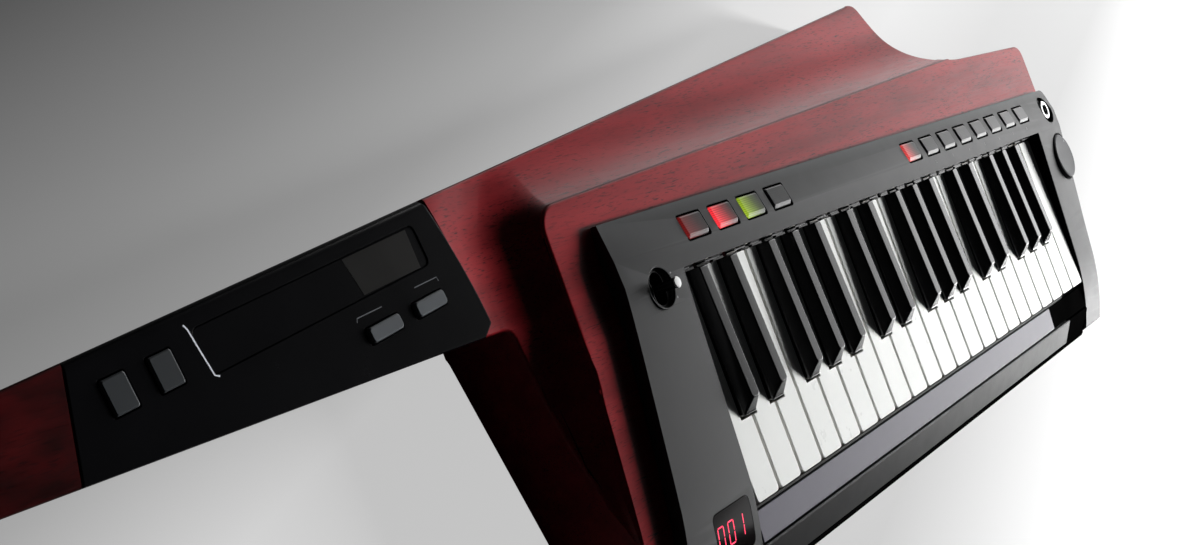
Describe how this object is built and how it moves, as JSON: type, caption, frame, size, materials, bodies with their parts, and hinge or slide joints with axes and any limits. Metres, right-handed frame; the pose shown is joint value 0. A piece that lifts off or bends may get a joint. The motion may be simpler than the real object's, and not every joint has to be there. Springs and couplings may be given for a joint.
{
  "type": "keytar",
  "caption": "Keytar: a strap-hung synthesizer with a sprung keyboard in a carved wooden body and a neck with touch strip and buttons.",
  "frame": {"origin": "on the resting plane, under the middle of the instrument's box", "axes": "+X along the keyboard towards the highest note, +Y towards the horn, +Z out of the keys"},
  "size_m": [0.834, 0.249, 0.063],
  "materials": {
    "stained_wood": "satin red stain with the grain showing",
    "panel_plastic": "satin black",
    "touch_film": "satin grey film",
    "gloss_black": "polished black",
    "smoked_lens": "polished smoked lens",
    "dark_plastic": "fine matte black",
    "polished_steel": "polished nickel plate",
    "white_key_plastic": "polished off-white",
    "smoked_caps": "smoked translucent caps",
    "grey_caps": "matte grey"
  },
  "bodies": {
    "instrument": {"wood_body": "stained_wood", "top_panel": "panel_plastic", "front_rail": "panel_plastic", "long_touch_strip": "touch_film", "neck_panel": "gloss_black", "short_touch_strip": "gloss_black", "display_window": "smoked_lens", "key_chassis": "dark_plastic", "back_cover": "dark_plastic", "output_socket": "polished_steel", "neck_strap_pin": "polished_steel", "end_strap_pin": "polished_steel"},
    "white_key_1": {"white_key_1": "white_key_plastic"},
    "white_key_2": {"white_key_2": "white_key_plastic"},
    "white_key_3": {"white_key_3": "white_key_plastic"},
    "white_key_4": {"white_key_4": "white_key_plastic"},
    "white_key_5": {"white_key_5": "white_key_plastic"},
    "white_key_6": {"white_key_6": "white_key_plastic"},
    "white_key_7": {"white_key_7": "white_key_plastic"},
    "white_key_8": {"white_key_8": "white_key_plastic"},
    "white_key_9": {"white_key_9": "white_key_plastic"},
    "white_key_10": {"white_key_10": "white_key_plastic"},
    "white_key_11": {"white_key_11": "white_key_plastic"},
    "white_key_12": {"white_key_12": "white_key_plastic"},
    "white_key_13": {"white_key_13": "white_key_plastic"},
    "white_key_14": {"white_key_14": "white_key_plastic"},
    "white_key_15": {"white_key_15": "white_key_plastic"},
    "white_key_16": {"white_key_16": "white_key_plastic"},
    "white_key_17": {"white_key_17": "white_key_plastic"},
    "white_key_18": {"white_key_18": "white_key_plastic"},
    "white_key_19": {"white_key_19": "white_key_plastic"},
    "white_key_20": {"white_key_20": "white_key_plastic"},
    "white_key_21": {"white_key_21": "white_key_plastic"},
    "white_key_22": {"white_key_22": "white_key_plastic"},
    "black_key_1": {"black_key_1": "gloss_black"},
    "black_key_2": {"black_key_2": "gloss_black"},
    "black_key_3": {"black_key_3": "gloss_black"},
    "black_key_4": {"black_key_4": "gloss_black"},
    "black_key_5": {"black_key_5": "gloss_black"},
    "black_key_6": {"black_key_6": "gloss_black"},
    "black_key_7": {"black_key_7": "gloss_black"},
    "black_key_8": {"black_key_8": "gloss_black"},
    "black_key_9": {"black_key_9": "gloss_black"},
    "black_key_10": {"black_key_10": "gloss_black"},
    "black_key_11": {"black_key_11": "gloss_black"},
    "black_key_12": {"black_key_12": "gloss_black"},
    "black_key_13": {"black_key_13": "gloss_black"},
    "black_key_14": {"black_key_14": "gloss_black"},
    "black_key_15": {"black_key_15": "gloss_black"},
    "mode_button_1": {"mode_button_1": "smoked_caps"},
    "mode_button_2": {"mode_button_2": "smoked_caps"},
    "mode_button_3": {"mode_button_3": "smoked_caps"},
    "mode_button_4": {"mode_button_4": "smoked_caps"},
    "memory_buttons": {"memory_buttons": "smoked_caps"},
    "octave_down_button": {"octave_down_button": "grey_caps"},
    "octave_up_button": {"octave_up_button": "grey_caps"},
    "ribbon_pitch_button": {"ribbon_pitch_button": "grey_caps"},
    "ribbon_filter_button": {"ribbon_filter_button": "grey_caps"},
    "sound_lever": {"sound_lever": "gloss_black"},
    "volume_dial": {"volume_dial": "dark_plastic"}
  },
  "joints": [
    {"name": "white_key_1_pivot", "type": "hinge", "parent": "instrument", "child": "white_key_1", "pos_m": [-0.0799, 0.0335, 0.0425], "axis": [1, 0, 0], "range_deg": [0, 3.3], "stiffness_Nm_per_rad": 0.6, "springref_deg": -5.73},
    {"name": "white_key_2_pivot", "type": "hinge", "parent": "instrument", "child": "white_key_2", "pos_m": [-0.0591, 0.0335, 0.0425], "axis": [1, 0, 0], "range_deg": [0, 3.3], "stiffness_Nm_per_rad": 0.6, "springref_deg": -5.73},
    {"name": "white_key_3_pivot", "type": "hinge", "parent": "instrument", "child": "white_key_3", "pos_m": [-0.0383, 0.0335, 0.0425], "axis": [1, 0, 0], "range_deg": [0, 3.3], "stiffness_Nm_per_rad": 0.6, "springref_deg": -5.73},
    {"name": "white_key_4_pivot", "type": "hinge", "parent": "instrument", "child": "white_key_4", "pos_m": [-0.0175, 0.0335, 0.0425], "axis": [1, 0, 0], "range_deg": [0, 3.3], "stiffness_Nm_per_rad": 0.6, "springref_deg": -5.73},
    {"name": "white_key_5_pivot", "type": "hinge", "parent": "instrument", "child": "white_key_5", "pos_m": [0.0033, 0.0335, 0.0425], "axis": [1, 0, 0], "range_deg": [0, 3.3], "stiffness_Nm_per_rad": 0.6, "springref_deg": -5.73},
    {"name": "white_key_6_pivot", "type": "hinge", "parent": "instrument", "child": "white_key_6", "pos_m": [0.0241, 0.0335, 0.0425], "axis": [1, 0, 0], "range_deg": [0, 3.3], "stiffness_Nm_per_rad": 0.6, "springref_deg": -5.73},
    {"name": "white_key_7_pivot", "type": "hinge", "parent": "instrument", "child": "white_key_7", "pos_m": [0.0449, 0.0335, 0.0425], "axis": [1, 0, 0], "range_deg": [0, 3.3], "stiffness_Nm_per_rad": 0.6, "springref_deg": -5.73},
    {"name": "white_key_8_pivot", "type": "hinge", "parent": "instrument", "child": "white_key_8", "pos_m": [0.0657, 0.0335, 0.0425], "axis": [1, 0, 0], "range_deg": [0, 3.3], "stiffness_Nm_per_rad": 0.6, "springref_deg": -5.73},
    {"name": "white_key_9_pivot", "type": "hinge", "parent": "instrument", "child": "white_key_9", "pos_m": [0.0865, 0.0335, 0.0425], "axis": [1, 0, 0], "range_deg": [0, 3.3], "stiffness_Nm_per_rad": 0.6, "springref_deg": -5.73},
    {"name": "white_key_10_pivot", "type": "hinge", "parent": "instrument", "child": "white_key_10", "pos_m": [0.1073, 0.0335, 0.0425], "axis": [1, 0, 0], "range_deg": [0, 3.3], "stiffness_Nm_per_rad": 0.6, "springref_deg": -5.73},
    {"name": "white_key_11_pivot", "type": "hinge", "parent": "instrument", "child": "white_key_11", "pos_m": [0.1281, 0.0335, 0.0425], "axis": [1, 0, 0], "range_deg": [0, 3.3], "stiffness_Nm_per_rad": 0.6, "springref_deg": -5.73},
    {"name": "white_key_12_pivot", "type": "hinge", "parent": "instrument", "child": "white_key_12", "pos_m": [0.1489, 0.0335, 0.0425], "axis": [1, 0, 0], "range_deg": [0, 3.3], "stiffness_Nm_per_rad": 0.6, "springref_deg": -5.73},
    {"name": "white_key_13_pivot", "type": "hinge", "parent": "instrument", "child": "white_key_13", "pos_m": [0.1697, 0.0335, 0.0425], "axis": [1, 0, 0], "range_deg": [0, 3.3], "stiffness_Nm_per_rad": 0.6, "springref_deg": -5.73},
    {"name": "white_key_14_pivot", "type": "hinge", "parent": "instrument", "child": "white_key_14", "pos_m": [0.1905, 0.0335, 0.0425], "axis": [1, 0, 0], "range_deg": [0, 3.3], "stiffness_Nm_per_rad": 0.6, "springref_deg": -5.73},
    {"name": "white_key_15_pivot", "type": "hinge", "parent": "instrument", "child": "white_key_15", "pos_m": [0.2113, 0.0335, 0.0425], "axis": [1, 0, 0], "range_deg": [0, 3.3], "stiffness_Nm_per_rad": 0.6, "springref_deg": -5.73},
    {"name": "white_key_16_pivot", "type": "hinge", "parent": "instrument", "child": "white_key_16", "pos_m": [0.2321, 0.0335, 0.0425], "axis": [1, 0, 0], "range_deg": [0, 3.3], "stiffness_Nm_per_rad": 0.6, "springref_deg": -5.73},
    {"name": "white_key_17_pivot", "type": "hinge", "parent": "instrument", "child": "white_key_17", "pos_m": [0.2529, 0.0335, 0.0425], "axis": [1, 0, 0], "range_deg": [0, 3.3], "stiffness_Nm_per_rad": 0.6, "springref_deg": -5.73},
    {"name": "white_key_18_pivot", "type": "hinge", "parent": "instrument", "child": "white_key_18", "pos_m": [0.2737, 0.0335, 0.0425], "axis": [1, 0, 0], "range_deg": [0, 3.3], "stiffness_Nm_per_rad": 0.6, "springref_deg": -5.73},
    {"name": "white_key_19_pivot", "type": "hinge", "parent": "instrument", "child": "white_key_19", "pos_m": [0.2945, 0.0335, 0.0425], "axis": [1, 0, 0], "range_deg": [0, 3.3], "stiffness_Nm_per_rad": 0.6, "springref_deg": -5.73},
    {"name": "white_key_20_pivot", "type": "hinge", "parent": "instrument", "child": "white_key_20", "pos_m": [0.3153, 0.0335, 0.0425], "axis": [1, 0, 0], "range_deg": [0, 3.3], "stiffness_Nm_per_rad": 0.6, "springref_deg": -5.73},
    {"name": "white_key_21_pivot", "type": "hinge", "parent": "instrument", "child": "white_key_21", "pos_m": [0.3361, 0.0335, 0.0425], "axis": [1, 0, 0], "range_deg": [0, 3.3], "stiffness_Nm_per_rad": 0.6, "springref_deg": -5.73},
    {"name": "white_key_22_pivot", "type": "hinge", "parent": "instrument", "child": "white_key_22", "pos_m": [0.3569, 0.0335, 0.0425], "axis": [1, 0, 0], "range_deg": [0, 3.3], "stiffness_Nm_per_rad": 0.6, "springref_deg": -5.73},
    {"name": "black_key_1_pivot", "type": "hinge", "parent": "instrument", "child": "black_key_1", "pos_m": [-0.07272, 0.0335, 0.0425], "axis": [1, 0, 0], "range_deg": [0, 3], "stiffness_Nm_per_rad": 0.6, "springref_deg": -5.73},
    {"name": "black_key_2_pivot", "type": "hinge", "parent": "instrument", "child": "black_key_2", "pos_m": [-0.04683, 0.0335, 0.0425], "axis": [1, 0, 0], "range_deg": [0, 3], "stiffness_Nm_per_rad": 0.6, "springref_deg": -5.73},
    {"name": "black_key_3_pivot", "type": "hinge", "parent": "instrument", "child": "black_key_3", "pos_m": [-0.01095, 0.0335, 0.0425], "axis": [1, 0, 0], "range_deg": [0, 3], "stiffness_Nm_per_rad": 0.6, "springref_deg": -5.73},
    {"name": "black_key_4_pivot", "type": "hinge", "parent": "instrument", "child": "black_key_4", "pos_m": [0.01276, 0.0335, 0.0425], "axis": [1, 0, 0], "range_deg": [0, 3], "stiffness_Nm_per_rad": 0.6, "springref_deg": -5.73},
    {"name": "black_key_5_pivot", "type": "hinge", "parent": "instrument", "child": "black_key_5", "pos_m": [0.03668, 0.0335, 0.0425], "axis": [1, 0, 0], "range_deg": [0, 3], "stiffness_Nm_per_rad": 0.6, "springref_deg": -5.73},
    {"name": "black_key_6_pivot", "type": "hinge", "parent": "instrument", "child": "black_key_6", "pos_m": [0.07288, 0.0335, 0.0425], "axis": [1, 0, 0], "range_deg": [0, 3], "stiffness_Nm_per_rad": 0.6, "springref_deg": -5.73},
    {"name": "black_key_7_pivot", "type": "hinge", "parent": "instrument", "child": "black_key_7", "pos_m": [0.09877, 0.0335, 0.0425], "axis": [1, 0, 0], "range_deg": [0, 3], "stiffness_Nm_per_rad": 0.6, "springref_deg": -5.73},
    {"name": "black_key_8_pivot", "type": "hinge", "parent": "instrument", "child": "black_key_8", "pos_m": [0.13465, 0.0335, 0.0425], "axis": [1, 0, 0], "range_deg": [0, 3], "stiffness_Nm_per_rad": 0.6, "springref_deg": -5.73},
    {"name": "black_key_9_pivot", "type": "hinge", "parent": "instrument", "child": "black_key_9", "pos_m": [0.15836, 0.0335, 0.0425], "axis": [1, 0, 0], "range_deg": [0, 3], "stiffness_Nm_per_rad": 0.6, "springref_deg": -5.73},
    {"name": "black_key_10_pivot", "type": "hinge", "parent": "instrument", "child": "black_key_10", "pos_m": [0.18228, 0.0335, 0.0425], "axis": [1, 0, 0], "range_deg": [0, 3], "stiffness_Nm_per_rad": 0.6, "springref_deg": -5.73},
    {"name": "black_key_11_pivot", "type": "hinge", "parent": "instrument", "child": "black_key_11", "pos_m": [0.21848, 0.0335, 0.0425], "axis": [1, 0, 0], "range_deg": [0, 3], "stiffness_Nm_per_rad": 0.6, "springref_deg": -5.73},
    {"name": "black_key_12_pivot", "type": "hinge", "parent": "instrument", "child": "black_key_12", "pos_m": [0.24437, 0.0335, 0.0425], "axis": [1, 0, 0], "range_deg": [0, 3], "stiffness_Nm_per_rad": 0.6, "springref_deg": -5.73},
    {"name": "black_key_13_pivot", "type": "hinge", "parent": "instrument", "child": "black_key_13", "pos_m": [0.28025, 0.0335, 0.0425], "axis": [1, 0, 0], "range_deg": [0, 3], "stiffness_Nm_per_rad": 0.6, "springref_deg": -5.73},
    {"name": "black_key_14_pivot", "type": "hinge", "parent": "instrument", "child": "black_key_14", "pos_m": [0.30396, 0.0335, 0.0425], "axis": [1, 0, 0], "range_deg": [0, 3], "stiffness_Nm_per_rad": 0.6, "springref_deg": -5.73},
    {"name": "black_key_15_pivot", "type": "hinge", "parent": "instrument", "child": "black_key_15", "pos_m": [0.32788, 0.0335, 0.0425], "axis": [1, 0, 0], "range_deg": [0, 3], "stiffness_Nm_per_rad": 0.6, "springref_deg": -5.73},
    {"name": "mode_button_1_press", "type": "slide", "parent": "instrument", "child": "mode_button_1", "axis": [0, 0, -1], "range_m": [0, 0.0009], "stiffness_N_per_m": 400, "springref_m": -0.002},
    {"name": "mode_button_2_press", "type": "slide", "parent": "instrument", "child": "mode_button_2", "axis": [0, 0, -1], "range_m": [0, 0.0009], "stiffness_N_per_m": 400, "springref_m": -0.002},
    {"name": "mode_button_3_press", "type": "slide", "parent": "instrument", "child": "mode_button_3", "axis": [0, 0, -1], "range_m": [0, 0.0009], "stiffness_N_per_m": 400, "springref_m": -0.002},
    {"name": "mode_button_4_press", "type": "slide", "parent": "instrument", "child": "mode_button_4", "axis": [0, 0, -1], "range_m": [0, 0.0009], "stiffness_N_per_m": 400, "springref_m": -0.002},
    {"name": "memory_buttons_press", "type": "slide", "parent": "instrument", "child": "memory_buttons", "axis": [0, 0, -1], "range_m": [0, 0.0009], "stiffness_N_per_m": 400, "springref_m": -0.002},
    {"name": "octave_down_button_press", "type": "slide", "parent": "instrument", "child": "octave_down_button", "axis": [0, 0, -1], "range_m": [0, 0.0008], "stiffness_N_per_m": 400, "springref_m": -0.002},
    {"name": "octave_up_button_press", "type": "slide", "parent": "instrument", "child": "octave_up_button", "axis": [0, 0, -1], "range_m": [0, 0.0008], "stiffness_N_per_m": 400, "springref_m": -0.002},
    {"name": "ribbon_pitch_button_press", "type": "slide", "parent": "instrument", "child": "ribbon_pitch_button", "axis": [0, 0, -1], "range_m": [0, 0.0008], "stiffness_N_per_m": 400, "springref_m": -0.002},
    {"name": "ribbon_filter_button_press", "type": "slide", "parent": "instrument", "child": "ribbon_filter_button", "axis": [0, 0, -1], "range_m": [0, 0.0008], "stiffness_N_per_m": 400, "springref_m": -0.002},
    {"name": "sound_lever_pivot", "type": "hinge", "parent": "instrument", "child": "sound_lever", "pos_m": [-0.1099, 0.0065, 0.0495], "axis": [1, 0, 0], "range_deg": [-14, 14], "stiffness_Nm_per_rad": 0.05},
    {"name": "volume_dial_pivot", "type": "hinge", "parent": "instrument", "child": "volume_dial", "pos_m": [0.4017, -0.0099, 0.048], "axis": [0, 0, 1], "range_deg": [-150, 150]}
  ]
}
